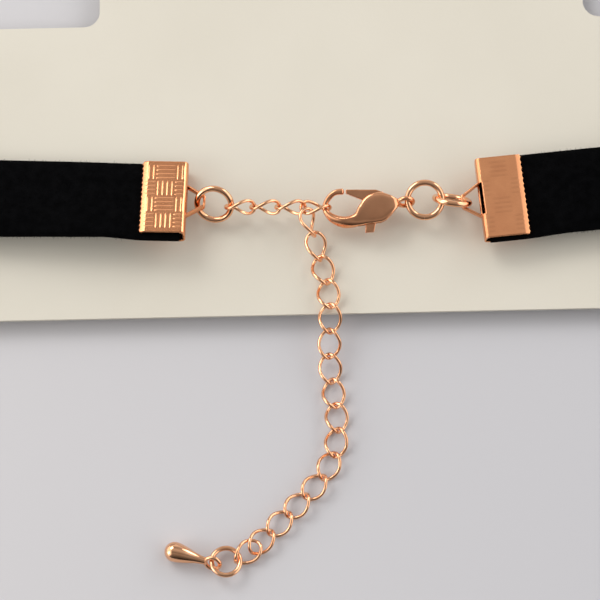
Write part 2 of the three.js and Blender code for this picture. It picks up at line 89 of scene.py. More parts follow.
def add_node(tree, kind, *inputs, **settings):
    """A node with its settings and its inputs, by place or by name. An output that is given is linked."""
    node = tree.nodes.new(kind)
    named = {key.replace("_", " "): value for key, value in settings.items() if not hasattr(node, key)}
    for key, value in settings.items():
        if hasattr(node, key):
            setattr(node, key, value)
    for key, value in [*enumerate(inputs), *named.items()]:
        if isinstance(value, bpy.types.NodeSocket):
            tree.links.new(value, node.inputs[key])
        elif value is not None:
            node.inputs[key].default_value = value
    return node


def maths(tree, operation, *inputs):
    return add_node(tree, "ShaderNodeMath", *inputs, operation=operation).outputs["Value"]


def tone_between(tree, mask, dark, light, low=0.0, high=1.0):
    ramp = add_node(tree, "ShaderNodeValToRGB", mask)
    ramp.color_ramp.elements[0].position = low
    ramp.color_ramp.elements[0].color = (*dark, 1)
    ramp.color_ramp.elements[1].position = high
    ramp.color_ramp.elements[1].color = (*light, 1)
    return ramp.outputs["Color"]


def add_object(name, mesh):
    made = bpy.data.objects.new(name, mesh)
    bpy.context.collection.objects.link(made)
    return made


table_top, tree, shader = new_material("pale_table", (0.62, 0.605, 0.62), 0.6)
place = add_node(tree, "ShaderNodeTexCoord").outputs["Object"]
split = add_node(tree, "ShaderNodeSeparateXYZ", place)
# Painted shade: the table's colour darkens and cools towards the right, away from the window light.
painted_shade_to_right = add_node(tree, "ShaderNodeMapRange", split.outputs["X"], From_Min=-0.08, From_Max=0.10)
cloudy = add_node(tree, "ShaderNodeTexNoise", place, Scale=9.0, Detail=3.0)
cloud_share = 0.3
uneven_tone_and_painted_shade = maths(tree, "MULTIPLY_ADD", cloudy.outputs["Fac"], cloud_share, painted_shade_to_right.outputs["Result"])
tree.links.new(
    tone_between(tree, uneven_tone_and_painted_shade, (0.65, 0.63, 0.64), (0.575, 0.57, 0.60), 0.1, 1.2), shader.inputs["Base Color"]
)
table_half = 0.9
mesh = bpy.data.meshes.new("table")
mesh.from_pydata(
    [(-table_half, -table_half, 0), (table_half, -table_half, 0),
     (table_half, table_half, 0), (-table_half, table_half, 0)],
    [], [(0, 1, 2, 3)],
)
mesh.materials.append(table_top)
table = add_object("table", mesh)


# The light is very soft: a window to the upper left, a low narrow one at each side, and a room with
# a white diffuser on its left and right. The middle of the room is dim on the side that the camera
# looks from and brighter beyond the card, which gives the metal its dark bands and middle tones.
def soft_light(name, azimuth, elevation, distance, size, power, colour):
    data = bpy.data.lights.new(name, "AREA")
    data.shape = "RECTANGLE"
    data.size, data.size_y = size
    data.energy = power
    data.color = colour
    lamp = bpy.data.objects.new(name, data)
    round_it, above = math.radians(azimuth), math.radians(elevation)
    flat = math.cos(above)
    towards = Vector((flat * math.cos(round_it), flat * math.sin(round_it), math.sin(above)))
    lamp.location = distance * towards
    lamp.rotation_euler = (-towards).to_track_quat("-Z", "Y").to_euler()
    bpy.context.collection.objects.link(lamp)


soft_light("window_light", 130, 43, 0.8, (0.42, 0.36), 2.1, (1.0, 0.99, 0.97))
soft_light("left_light", 195, 22, 0.7, (0.22, 0.30), 0.8, (1.0, 0.985, 0.96))
soft_light("right_light", 45, 28, 0.7, (0.16, 0.24), 0.45, (1.0, 0.99, 0.98))
world = bpy.data.worlds.new("studio")
world.use_nodes = True
bpy.context.scene.world = world
tree = world.node_tree
place = add_node(tree, "ShaderNodeTexCoord").outputs["Generated"]
split = add_node(tree, "ShaderNodeSeparateXYZ", place)
beyond = add_node(tree, "ShaderNodeMapRange", split.outputs["Y"], From_Min=-1.0)
middle_tones = {0.0: 0.02, 0.3: 0.06, 0.38: 0.2, 0.46: 0.34, 0.65: 0.62, 0.86: 0.30, 1.0: 0.36}
ramp = add_node(tree, "ShaderNodeValToRGB", beyond.outputs["Result"])
for stop_at, tone in middle_tones.items():
    inner = 0 < stop_at < 1
    stop = ramp.color_ramp.elements.new(stop_at) if inner else ramp.color_ramp.elements[int(stop_at)]
    stop.color = (tone, 0.99 * tone, 0.985 * tone, 1)
off_middle = maths(tree, "ABSOLUTE", split.outputs["X"])
at_side = add_node(
    tree, "ShaderNodeMapRange", off_middle, From_Min=0.45, From_Max=0.72, interpolation_type="SMOOTHSTEP"
)
not_near = add_node(
    tree, "ShaderNodeMapRange", split.outputs["Y"], From_Min=-0.75, From_Max=-0.45,
    interpolation_type="SMOOTHSTEP",
)
diffuser = maths(tree, "MULTIPLY", at_side.outputs["Result"], not_near.outputs["Result"])
room = add_node(tree, "ShaderNodeMix", diffuser, data_type="RGBA")
dim_middle, white_side, seen = room.inputs[6], room.inputs[7], room.outputs[2]
tree.links.new(ramp.outputs["Color"], dim_middle)
white_side.default_value = (1.6, 1.585, 1.56, 1)
tree.links.new(seen, tree.nodes["Background"].inputs["Color"])
bpy.context.scene.view_settings.view_transform = "Standard"


# The display card is thin matt board, cream on both sides and cut with rounded corners. Its face
# has a faint fibre and is barely uneven in tone.
def object_noise(tree, scale, detail, roughness=0.5):
    place = add_node(tree, "ShaderNodeTexCoord").outputs["Object"]
    noise = add_node(tree, "ShaderNodeTexNoise", place, Scale=scale, Detail=detail, Roughness=roughness)
    return noise.outputs["Fac"]


def add_bump(tree, shader, height, depth, strength):
    bump = add_node(tree, "ShaderNodeBump", Strength=strength, Distance=depth, Height=height)
    tree.links.new(bump.outputs["Normal"], shader.inputs["Normal"])


cream_board, tree, shader = new_material("cream_board", (0.73, 0.69, 0.60), 0.75)
shader.inputs["Specular IOR Level"].default_value = 0.25
tree.links.new(
    tone_between(tree, object_noise(tree, 60, 4), (0.715, 0.67, 0.575), (0.745, 0.70, 0.605), 0.3, 0.7),
    shader.inputs["Base Color"],
)
add_bump(tree, shader, object_noise(tree, 2600, 3, 0.6), 0.02 * MM, 0.5)
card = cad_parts["card"]
card.data.materials.clear()
card.data.materials.append(cream_board)


# The ribbon is one piece of black velvet, 10.5 mm wide, with a dense short pile on a woven ground.
# It runs once round the card's back and both its ends, and each of its ends sits in a crimp.
def merged_copy(node, name):
    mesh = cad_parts[node].data.copy()
    mesh.name = name
    shape = bmesh.new()
    shape.from_mesh(mesh)
    bmesh.ops.remove_doubles(shape, verts=shape.verts, dist=0.002 * MM)
    shape.to_mesh(mesh)
    shape.free()
    mesh.materials.clear()
    return mesh


def finished(made, material=None):
    depsgraph = bpy.context.evaluated_depsgraph_get()
    mesh = bpy.data.meshes.new_from_object(made.evaluated_get(depsgraph))
    made.modifiers.clear()
    made.data = mesh
    if material:
        mesh.materials.clear()
        mesh.materials.append(material)
    return made


def smooth_faces(mesh):
    mesh.polygons.foreach_set("use_smooth", np.ones(len(mesh.polygons), dtype=bool))


black_velvet, tree, shader = new_material("black_velvet", (0.0018, 0.0018, 0.0021), 1.0)
shader.inputs["Specular IOR Level"].default_value = 0.02
shader.inputs["Sheen Weight"].default_value = 0.006
shader.inputs["Sheen Roughness"].default_value = 0.5
nap = object_noise(tree, 900, 4)
tree.links.new(
    tone_between(tree, nap, (0.0012, 0.0012, 0.0014), (0.003, 0.003, 0.0034), 0.3, 0.75),
    shader.inputs["Base Color"],
)
add_bump(tree, shader, object_noise(tree, 5200, 2, 0.7), 0.12 * MM, 0.7)

mesh = merged_copy("ribbon", "velvet_ribbon")
shape = bmesh.new()
shape.from_mesh(mesh)
bmesh.ops.join_triangles(
    shape, faces=shape.faces, angle_face_threshold=0.7, angle_shape_threshold=3.1
)
shape.to_mesh(mesh)
shape.free()
ribbon = add_object("velvet_ribbon", mesh)
rounder = ribbon.modifiers.new("rounder", "SUBSURF")
rounder.subdivision_type = "SIMPLE"
rounder.levels = rounder.render_levels = 2
finished(ribbon, black_velvet)
smooth_faces(ribbon.data)


def turned_frame(turn, roll):
    heading = math.radians(turn)
    run = Vector((math.cos(heading), math.sin(heading), 0))
    side = Vector((-run.y, run.x, 0))
    basis = Matrix((run, side, Vector((0, 0, 1)))).transposed()
    return basis @ Matrix.Rotation(math.radians(roll), 3, "X")


def swell(mesh, node, turn, roll, side, swelling):
    """Moves one edge of the ribbon outward beside a crimp and a little way into the open ribbon."""
    basis = turned_frame(turn, roll)
    low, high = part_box(node)
    middle = (Vector(low) + Vector(high)) / 2
    half_length, half_width, half_depth = 2.9 * MM, 4.7 * MM, 2 * MM
    run_out, rounding, pulled_in = 6 * MM, 2.2 * MM, 1.6
    for vertex in mesh.vertices:
        along, across, above = basis.transposed() @ (vertex.co - middle)
        if abs(above) > half_depth or along < -half_length - run_out or along > 2 * half_length:
            continue
        if side * across < half_width:
            continue
        grown_in = min(1.0, (along + half_length + run_out) / run_out)
        share = grown_in * grown_in * (3 - 2 * grown_in)
        ending = min(1.0, max(0.0, (along - (half_length - rounding)) / rounding))
        share *= 1 - pulled_in * ending * ending
        vertex.co += basis @ Vector((0, side * swelling * share, 0))


# The velvet swells out of the crimps along their lower sides, most of all out of the left one.
# Each crimp lies at a turn about Z and a roll about its own run, in degrees.
crimp_lie = {"crimp_left": (-2.6, -15), "crimp_right": (180 + 5, 0)}
swell(ribbon.data, "crimp_left", *crimp_lie["crimp_left"], side=-1, swelling=0.45 * MM)
swell(ribbon.data, "crimp_right", *crimp_lie["crimp_right"], side=1, swelling=0.25 * MM)
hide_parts("ribbon")
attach(ribbon, "choker")

# The pile stands off the ground as short bent hairs, which makes the ribbon's edges fuzzy. None
# stands inside the crimps or between the ribbon and the table.
pile_length = 0.32 * MM
hair_radius = 0.025 * MM
pile_per_square_metre = 3.2e6
bare_margin = 0.4 * MM
places = np.empty(len(ribbon.data.vertices) * 3)
ribbon.data.vertices.foreach_get("co", places)
places = places.reshape(-1, 3)
open_pile = np.ones(len(places))
for low, high in (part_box("crimp_left"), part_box("crimp_right")):
    inside = np.all((places > np.array(low) - bare_margin) & (places < np.array(high) + bare_margin), axis=1)
    open_pile[inside] = 0
open_pile[places[:, 2] < 1.3 * pile_length] = 0


def new_tree(name, **sizes):
    tree = bpy.data.node_groups.new(name, "GeometryNodeTree")
    tree.interface.new_socket("Geometry", in_out="INPUT", socket_type="NodeSocketGeometry")
    for key, value in sizes.items():
        kind = "NodeSocketInt" if isinstance(value, int) else "NodeSocketFloat"
        kind = "NodeSocketMaterial" if isinstance(value, bpy.types.Material) else kind
        socket = tree.interface.new_socket(key.replace("_", " "), in_out="INPUT", socket_type=kind)
        if kind != "NodeSocketMaterial":
            socket.default_value = value
    tree.interface.new_socket("Geometry", in_out="OUTPUT", socket_type="NodeSocketGeometry")
    return tree, add_node(tree, "NodeGroupInput"), add_node(tree, "NodeGroupOutput")


def grown(made, tree, **sizes):
    modifier = made.modifiers.new(tree.name, "NODES")
    modifier.node_group = tree
    for item in tree.interface.items_tree:
        key = item.name.replace(" ", "_")
        if item.in_out == "INPUT" and key in sizes:
            modifier[item.identifier] = sizes[key]
    return finished(made)


def end_tree(tree, given, out, instances):
    """Makes the instances real geometry, in the material that the tree is given."""
    realized = add_node(tree, "GeometryNodeRealizeInstances", instances.outputs["Instances"])
    finish = add_node(
        tree, "GeometryNodeSetMaterial", realized.outputs["Geometry"], Material=given.outputs["Material"]
    )
    tree.links.new(finish.outputs["Geometry"], out.inputs["Geometry"])


pile_sizes = {
    "Density": pile_per_square_metre, "Length": pile_length, "Radius": hair_radius, "Seed": 7,
    "Material": black_velvet,
}
pile_tree, given, out = new_tree("velvet_pile", **pile_sizes)
room = add_node(pile_tree, "GeometryNodeInputNamedAttribute", "open_pile", data_type="FLOAT")
dense = maths(pile_tree, "MULTIPLY", room.outputs["Attribute"], given.outputs["Density"])
scatter = add_node(
    pile_tree, "GeometryNodeDistributePointsOnFaces", given.outputs["Geometry"], Density=dense,
    Seed=given.outputs["Seed"],
)
hair = add_node(
    pile_tree, "GeometryNodeMeshCone", Vertices=3, Radius_Bottom=given.outputs["Radius"],
    Depth=given.outputs["Length"],
)
upright = add_node(pile_tree, "FunctionNodeAlignRotationToVector", Vector=scatter.outputs["Normal"], axis="Z")
lean = add_node(
    pile_tree, "FunctionNodeRandomValue", (-0.6, -0.6, 0), (0.6, 0.6, 6.28), data_type="FLOAT_VECTOR"
)
turn_hair = add_node(
    pile_tree, "FunctionNodeRotateRotation", upright.outputs["Rotation"], Rotate_By=lean.outputs["Value"],
    rotation_space="LOCAL",
)
grow = add_node(pile_tree, "FunctionNodeRandomValue", None, None, 0.55, 1.25, data_type="FLOAT")
instances = add_node(
    pile_tree, "GeometryNodeInstanceOnPoints", scatter.outputs["Points"], Instance=hair.outputs["Mesh"],
    Rotation=turn_hair.outputs["Rotation"], Scale=grow.outputs[1],
)
end_tree(pile_tree, given, out, instances)
mesh = ribbon.data.copy()
mesh.name = "velvet_pile"
mesh.attributes.new("open_pile", "FLOAT", "POINT").data.foreach_set("value", open_pile)
pile = add_object("velvet_pile", mesh)
grown(pile, pile_tree, **pile_sizes)
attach(pile, "choker")


# Every metal piece is brass with a rose gold plating: polished and warm, with a fine haze of wear
# and a slightly darker tone in patches. One group gives them all that wear.
wear_scale = 420.0
haze_fineness = 9.0
polished_wear = bpy.data.node_groups.new("polished_wear", "ShaderNodeTree")
scale_socket = polished_wear.interface.new_socket("Scale", in_out="INPUT", socket_type="NodeSocketFloat")
scale_socket.default_value = wear_scale
for name in ("Patches", "Haze"):
    polished_wear.interface.new_socket(name, in_out="OUTPUT", socket_type="NodeSocketFloat")
given = add_node(polished_wear, "NodeGroupInput")
place = add_node(polished_wear, "ShaderNodeTexCoord").outputs["Object"]
finer = maths(polished_wear, "MULTIPLY", given.outputs["Scale"], haze_fineness)
patches = add_node(polished_wear, "ShaderNodeTexNoise", place, Scale=given.outputs["Scale"], Detail=4.0)
haze = add_node(polished_wear, "ShaderNodeTexNoise", place, Scale=finer, Detail=6.0)
add_node(polished_wear, "NodeGroupOutput", patches.outputs["Fac"], haze.outputs["Fac"])


def rose_gold(name, dark, light, smooth, rough, depth):
    material, tree, shader = new_material(name, light, smooth, 1.0)
    wear = add_node(tree, "ShaderNodeGroup", node_tree=polished_wear)
    wear.inputs["Scale"].default_value = wear_scale
    tree.links.new(
        tone_between(tree, wear.outputs["Patches"], dark, light, 0.3, 0.65), shader.inputs["Base Color"]
    )
    spread = add_node(tree, "ShaderNodeMapRange", wear.outputs["Haze"], To_Min=smooth, To_Max=rough)
    tree.links.new(spread.outputs["Result"], shader.inputs["Roughness"])
    add_bump(tree, shader, wear.outputs["Haze"], depth, 0.5)
    return material


wire_gold = rose_gold("rose_gold_wire", (0.85, 0.42, 0.22), (0.95, 0.53, 0.31), 0.08, 0.17, 0.004 * MM)
sheet_gold = rose_gold("rose_gold_sheet", (0.82, 0.35, 0.165), (0.90, 0.40, 0.19), 0.16, 0.28, 0.006 * MM)
cast_gold = rose_gold("rose_gold_cast", (0.82, 0.37, 0.19), (0.93, 0.45, 0.24), 0.10, 0.20, 0.006 * MM)


# Each crimp is a strip of sheet folded to a U over the ribbon's end and pressed down on it. Its
# faces are pressed with a basket weave of fine ridges, its jaws are toothed, and a strip cut out
# of the fold is bent out to a V, the bail that the jump ring hangs in.
crimp_length = 5.8 * MM
crimp_width = 10.2 * MM
crimp_thickness = 2.3 * MM
crimp_sheet = 0.35 * MM
crimp_teeth = 15
tooth_depth = 0.3 * MM
edge_rounding = 0.05 * MM
fold_radius = 0.6 * MM
jaw_ramp = 0.9 * MM
jaw_slope = 0.32
jaw_slope_start = 0.1 * MM
jaw_lip = 0.3 * MM
jaw_lip_drop = 0.24 * MM
jaw_closing = 0.05 * MM
bail_reach = 2.25 * MM
bail_base = 4.6 * MM
bail_tip = 1.9 * MM
bail_strip = 0.3 * MM
bail_depth = 0.8 * MM


def own_box(node, basis):
    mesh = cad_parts[node].data
    points = np.empty(len(mesh.vertices) * 3)
    mesh.vertices.foreach_get("co", points)
    local = points.reshape(-1, 3) @ np.array(basis)
    return local.min(axis=0), local.max(axis=0)


def smooth_path(points, steps):
    """A smooth curve through rows of numbers, with so many steps between each two of them."""
    points = np.array(points, dtype=float)
    fine = []
    for k in range(len(points) - 1):
        before, start = points[max(k - 1, 0)], points[k]
        end, after = points[k + 1], points[min(k + 2, len(points) - 1)]
        for t in np.linspace(0, 1, steps, endpoint=False):
            curve = 2 * before - 5 * start + 4 * end - after
            swing = 3 * start - before - 3 * end + after
            fine.append(0.5 * (2 * start + (end - before) * t + curve * t ** 2 + swing * t ** 3))
    return np.array(fine + [points[-1]])


def sideways(line):
    """The unit normals of a flat line, to the left of its run."""
    along = np.gradient(line, axis=0)
    along /= np.linalg.norm(along, axis=1)[:, None]
    return np.stack([-along[:, 1], along[:, 0]], axis=1)


def crimp_profile():
    """The sheet's outer line from the upper jaw round the fold to the lower jaw, with its normals."""
    half = crimp_thickness / 2

    def jaw(steps):
        line = []
        for k in range(steps + 1):
            share = k / steps
            x = -crimp_length + (crimp_length - fold_radius) * share
            ramp = max(0.0, jaw_ramp - crimp_length - x)
            lip = max(0.0, jaw_lip - crimp_length - x) / jaw_lip
            drop = jaw_slope * ramp * ramp / (ramp + jaw_slope_start) + jaw_lip_drop * lip * lip
            line.append((x, half - jaw_closing * (1 - share) - drop))
        return line

    line = jaw(92)
    for k in range(1, 12):
        turn = math.radians(15 * k)
        line.append((-fold_radius + fold_radius * math.sin(turn),
                     math.copysign(half - fold_radius, math.cos(turn)) + fold_radius * math.cos(turn)))
    line += [(x, -z) for x, z in reversed(jaw(20))]
    line = np.array(line)
    return line, sideways(line)


# The pressed weave: where each column of blocks lies from the fold, and the blocks' ridges
weave_columns = [(-5.02 * MM, -3.86 * MM), (-3.84 * MM, -1.5 * MM), (-1.48 * MM, -0.45 * MM)]
weave_rows = 4
weave_margin = 0.45 * MM
row_gap = 0.12 * MM
ridge_pitch = 0.58 * MM
ridge_share = 0.34
ridge_end = 0.3 * MM


def weave_height(x, y, start):
    """Square blocks of ridges, turned crosswise from block to block, with half blocks at the sides."""
    row_height = (crimp_width - 2 * weave_margin) / weave_rows
    row, up = divmod(y + row_height * weave_rows / 2, row_height)
    row_edge = min(up, row_height - up)
    if not 0 <= row < weave_rows or row_edge < row_gap:
        return 0.0
    for column, (left, right) in enumerate(weave_columns):
        if left < x < right:
            run_up = (row + column + start) % 2 == 0
            share = ((x - left) if run_up else up) / ridge_pitch
            ends = row_edge - row_gap if run_up else min(x - left, right - x)
            crest = max(0.0, 1 - abs((share % 1) - 0.5) * 2 / ridge_share)
            return math.sin(math.pi / 2 * crest) * min(1.0, ends / ridge_end) ** 0.5
    return 0.0


def crimp_mesh(name, weave_depth, weave_start):
    columns = 200
    edge_run = 0.12 * MM
    tooth_run = 0.3 * MM
    line, normals = crimp_profile()
    inner = line - normals * crimp_sheet
    count = len(line)
    pitch = crimp_width / crimp_teeth
    vertices = []
    for c in range(columns + 1):
        y = -crimp_width / 2 + crimp_width * c / columns
        edge = min(1.0, (crimp_width / 2 - abs(y)) / edge_run)
        soft = edge_rounding * (1 - math.sqrt(max(0.0, 1 - (1 - edge) ** 2)))
        bite = tooth_depth * abs(((y / pitch + 0.5) % 1) - 0.5) * 2
        for surface, outer in ((line, True), (inner, False)):
            for k in range(count):
                x, z = surface[k]
                x += bite * max(0.0, 1 - (line[k][0] + crimp_length) / tooth_run)
                if outer:
                    lift = weave_depth * weave_height(line[k][0], y, weave_start) - soft
                    x, z = x + normals[k][0] * lift, z + normals[k][1] * lift
                vertices.append((x, y, z))
    faces = []
    for c in range(columns):
        here, there = c * 2 * count, (c + 1) * 2 * count
        for k in range(count - 1):
            faces.append((here + k, here + k + 1, there + k + 1, there + k))
            faces.append((here + count + k, there + count + k, there + count + k + 1, here + count + k + 1))
        faces.append((here, there, there + count, here + count))
        faces.append((here + count - 1, here + 2 * count - 1, there + 2 * count - 1, there + count - 1))
    last = columns * 2 * count
    for k in range(count - 1):
        faces.append((k, k + count, k + count + 1, k + 1))
        faces.append((last + k, last + k + 1, last + k + count + 1, last + k + count))
    mesh = bpy.data.meshes.new(name)
    mesh.from_pydata(vertices, [], faces)
    return mesh


def outward_normals(mesh):
    shape = bmesh.new()
    shape.from_mesh(mesh)
    bmesh.ops.recalc_face_normals(shape, faces=shape.faces)
    shape.to_mesh(mesh)
    shape.free()


def skinned(name, rings):
    """A closed skin over rings of points."""
    sides = len(rings[0])
    faces = []
    for k in range(len(rings) - 1):
        for s in range(sides):
            n = (s + 1) % sides
            faces.append((k * sides + s, k * sides + n, (k + 1) * sides + n, (k + 1) * sides + s))
    faces.append(tuple(range(sides)))
    faces.append(tuple((len(rings) - 1) * sides + s for s in range(sides)))
    mesh = bpy.data.meshes.new(name)
    mesh.from_pydata([tuple(point) for ring in rings for point in ring], [], faces)
    outward_normals(mesh)
    return mesh


def bail_mesh(name):
    """The bail's strip: a rounded bar that follows the V from one foot to the other."""
    foot, corner = bail_base / 2, bail_tip / 2
    path = [(-crimp_sheet, foot), (0.0, foot - 0.08 * MM), (bail_reach - 0.5 * MM, corner + 0.14 * MM),
            (bail_reach - 0.2 * MM, corner - 0.02 * MM), (bail_reach, corner - 0.36 * MM)]
    path = path + [(x, -y) for x, y in reversed(path)]
    fine = smooth_path(path, 8)
    outward = sideways(fine)
    outward *= np.sign(outward[len(outward) // 2][0])
    fine -= outward * bail_strip / 2
    sides = 16
    squareness = 0.45
    rings = []
    for point, out in zip(fine, outward):
        ring = []
        for s in range(sides):
            angle = 2 * math.pi * s / sides
            wide = bail_strip / 2 * math.copysign(abs(math.cos(angle)) ** squareness, math.cos(angle))
            tall = bail_depth / 2 * math.copysign(abs(math.sin(angle)) ** squareness, math.sin(angle))
            ring.append((point[0] + out[0] * wide, point[1] + out[1] * wide, tall))
        rings.append(ring)
    return skinned(name, rings)


def joined(name, *meshes):
    shape = bmesh.new()
    for mesh in meshes:
        shape.from_mesh(mesh)
    mesh = bpy.data.meshes.new(name)
    shape.to_mesh(mesh)
    shape.free()
    return mesh


def box_mesh(name, low, high):
    shape = bmesh.new()
    bmesh.ops.create_cube(shape, size=1)
    for vertex in shape.verts:
        for axis in range(3):
            vertex.co[axis] = (low[axis] + high[axis]) / 2 + vertex.co[axis] * (high[axis] - low[axis])
    mesh = bpy.data.meshes.new(name)
    shape.to_mesh(mesh)
    shape.free()
    return mesh


def add_crimp(node, turn, roll, weave_depth, weave_start, slit_top):
    basis = turned_frame(turn, roll)
    low, high = own_box(node, basis)
    origin = Vector((high[0] - bail_reach, (low[1] + high[1]) / 2, (low[2] + high[2]) / 2))
    folded = crimp_mesh(node + "_folded", weave_depth, weave_start)
    outward_normals(folded)
    made = add_object(node + "_plated", folded)
    window = bail_base / 2 - bail_strip
    slit = add_object("slit", box_mesh("slit", (-1.3 * crimp_sheet, -window, -bail_depth / 2),
                                       (2 * crimp_sheet, window, slit_top)))
    cut = made.modifiers.new("slit", "BOOLEAN")
    cut.operation = "DIFFERENCE"
    cut.object = slit
    finished(made)
    bpy.data.objects.remove(slit)
    mesh = joined(node + "_plated", made.data, bail_mesh("bail"))
    mesh.transform(basis.to_4x4() @ Matrix.Translation(origin))
    smooth_faces(mesh)
    mesh.materials.append(sheet_gold)
    made.data = mesh
    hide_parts(node)
    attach(made, "choker")


add_crimp("crimp_left", *crimp_lie["crimp_left"], weave_depth=0.045 * MM, weave_start=1,
          slit_top=bail_depth / 2)
add_crimp("crimp_right", *crimp_lie["crimp_right"], weave_depth=0.012 * MM, weave_start=0,
          slit_top=1.3 * MM)


# The jump rings are round wire bent to a circle. Their ends meet in a fine seam, which lies at the
# foot of the ring by the clasp and of the left ring, and beside the bail on the right ring.
def main_axes(node):
    mesh = merged_copy(node, "measured")
    points = np.empty(len(mesh.vertices) * 3)
    mesh.vertices.foreach_get("co", points)
    points = points.reshape(-1, 3)
    bpy.data.meshes.remove(mesh)
    centre = (points.min(axis=0) + points.max(axis=0)) / 2
    middle = points.mean(axis=0)
    spread, axes = np.linalg.eigh(np.cov((points - middle).T))
    order = np.argsort(spread)[::-1]
    return Vector(middle), [Vector(axes[:, k]) for k in order], Vector(centre)


loop_tree, given, out = new_tree(
    "bent_wire", Length=4 * MM, Width=3 * MM, Wire=0.4 * MM, Twist=0.0, Seam=0.05, Steps=72, Sides=14,
    Material=wire_gold,
)
wire = given.outputs["Wire"]
unit_arc = add_node(
    loop_tree, "GeometryNodeCurveArc", Resolution=given.outputs["Steps"], Radius=1.0,
    Start_Angle=maths(loop_tree, "MULTIPLY", given.outputs["Seam"], 0.5),
    Sweep_Angle=maths(loop_tree, "SUBTRACT", 2 * math.pi, given.outputs["Seam"]), mode="RADIUS",
)
# A point of the unit arc goes out to the wire's middle line, then turns about X by the twist
position = add_node(loop_tree, "GeometryNodeInputPosition").outputs["Position"]
split = add_node(loop_tree, "ShaderNodeSeparateXYZ", position)
middle_length = maths(loop_tree, "SUBTRACT", given.outputs["Length"], wire)
middle_width = maths(loop_tree, "SUBTRACT", given.outputs["Width"], wire)
long_x = maths(loop_tree, "MULTIPLY", maths(loop_tree, "MULTIPLY", split.outputs["X"], middle_length), 0.5)
wide_y = maths(loop_tree, "MULTIPLY", maths(loop_tree, "MULTIPLY", split.outputs["Y"], middle_width), 0.5)
twisted_by = maths(loop_tree, "MULTIPLY", split.outputs["X"], given.outputs["Twist"])
bent = add_node(
    loop_tree, "ShaderNodeCombineXYZ", long_x,
    maths(loop_tree, "MULTIPLY", wide_y, maths(loop_tree, "COSINE", twisted_by)),
    maths(loop_tree, "MULTIPLY", wide_y, maths(loop_tree, "SINE", twisted_by)),
)
shaped = add_node(
    loop_tree, "GeometryNodeSetPosition", unit_arc.outputs["Curve"], Position=bent.outputs["Vector"]
)
section = add_node(
    loop_tree, "GeometryNodeCurvePrimitiveCircle", Resolution=given.outputs["Sides"],
    Radius=maths(loop_tree, "MULTIPLY", wire, 0.5),
)
tube = add_node(
    loop_tree, "GeometryNodeCurveToMesh", shaped.outputs["Geometry"], Profile_Curve=section.outputs["Curve"],
    Fill_Caps=True,
)
heading = add_node(loop_tree, "GeometryNodeInputNamedAttribute", "heading", data_type="FLOAT_VECTOR")
as_rotation = add_node(loop_tree, "FunctionNodeEulerToRotation", heading.outputs["Attribute"])
instances = add_node(
    loop_tree, "GeometryNodeInstanceOnPoints", given.outputs["Geometry"], Instance=tube.outputs["Mesh"],
    Rotation=as_rotation.outputs["Rotation"],
)
end_tree(loop_tree, given, out, instances)


def wire_loops(name, placed, **sizes):
    """Bent wires of one size, each at a place and with its own frame."""
    mesh = bpy.data.meshes.new(name)
    mesh.from_pydata([tuple(place) for place, basis in placed], [], [])
    headings = np.array([basis.to_euler() for place, basis in placed]).ravel()
    mesh.attributes.new("heading", "FLOAT_VECTOR", "POINT").data.foreach_set("vector", headings)
    made = grown(add_object(name, mesh), loop_tree, **sizes)
    made.data.name = name
    smooth_faces(made.data)
    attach(made, "choker")
    return made


def ring_frame(node, seam):
    axes, centre = main_axes(node)[1:]
    normal = axes[2]
    towards = Vector(seam) - Vector(seam).dot(normal) * normal
    towards.normalize()
    return centre, Matrix((towards, normal.cross(towards), normal)).transposed()


ring_seams = {"ring_left": (-0.5, -1, 0), "ring_clasp": (-0.05, -1, 0), "ring_right": (1, 0, 0.4)}
for node, seam in ring_seams.items():
    ring = wire_loops(
        node + "_wire", [ring_frame(node, seam)], Length=5 * MM, Width=5 * MM, Wire=0.75 * MM, Twist=0.0,
        Seam=0.012, Steps=96, Sides=20, Material=wire_gold,
    )
    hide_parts(node)
end_ring = wire_loops(
    "end_ring_wire", [ring_frame("end_ring", (1, 0.5, 0))], Length=4 * MM, Width=4 * MM, Wire=0.6 * MM,
    Twist=0.0, Seam=0.012, Steps=96, Sides=20, Material=wire_gold,
)
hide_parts("end_ring")


# The extender chain is a curb chain of twisted oval links in thin wire, so every link lies on its
# neighbours at a slant. The four in the row are taut and the rest hang loose over the card's edge.
def link_frame(node):
    middle, axes = main_axes(node)[:2]
    return middle, Matrix((axes[0], axes[1], axes[0].cross(axes[1]))).transposed()


link_nodes = [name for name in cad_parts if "_link" in name]
chain = wire_loops(
    "extender_chain", [link_frame(node) for node in sorted(link_nodes)], Length=4 * MM, Width=3 * MM,
    Wire=0.41 * MM, Twist=-math.radians(45), Seam=0.01, Steps=64, Sides=14, Material=wire_gold,
)
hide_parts(*link_nodes)


# The lobster clasp is a die-cast body with a flat round shoulder, a round hook and an eye, and a
# slot through the shoulder for its lever. The rivet that the lever turns on doesn't show.
clasp_length = 9.4 * MM
clasp_width = 4.6 * MM
clasp_thickness = 2.3 * MM
clasp_eye_diameter = 2.4 * MM
clasp_eye_wire = 0.6 * MM
clasp_eye_turn = 65
clasp_slot = {"from": 0.44, "to": 0.93, "height": 1.33 * MM}
clasp_pivot = (0.8, 0.1)
clasp_basis = turned_frame(3, 12)

